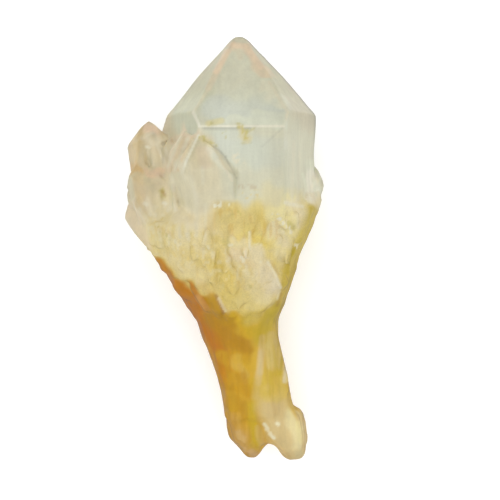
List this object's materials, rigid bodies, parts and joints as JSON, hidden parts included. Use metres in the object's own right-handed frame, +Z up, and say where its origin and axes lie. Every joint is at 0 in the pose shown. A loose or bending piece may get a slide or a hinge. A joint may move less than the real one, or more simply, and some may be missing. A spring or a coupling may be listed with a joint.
{
  "type": "quartz crystal",
  "caption": "Natural clear quartz crystal: a large six-sided point over smaller ones and a crusted collar, on a narrow iron-stained stem. It lies on its back.",
  "frame": {"origin": "on the surface the crystal lies on, under the middle of its bounding box", "axes": "+X across the crystal, +Y along it towards the tip of the large point, +Z up from the surface it lies on"},
  "size_m": [0.0427, 0.0901, 0.0313],
  "materials": {
    "quartz": "clear with a faint warm tint, slightly worn faces, yellow crust and orange-brown iron stain on the stem"
  },
  "bodies": {
    "root": {"quartz_crystal": "quartz"}
  },
  "joints": []
}
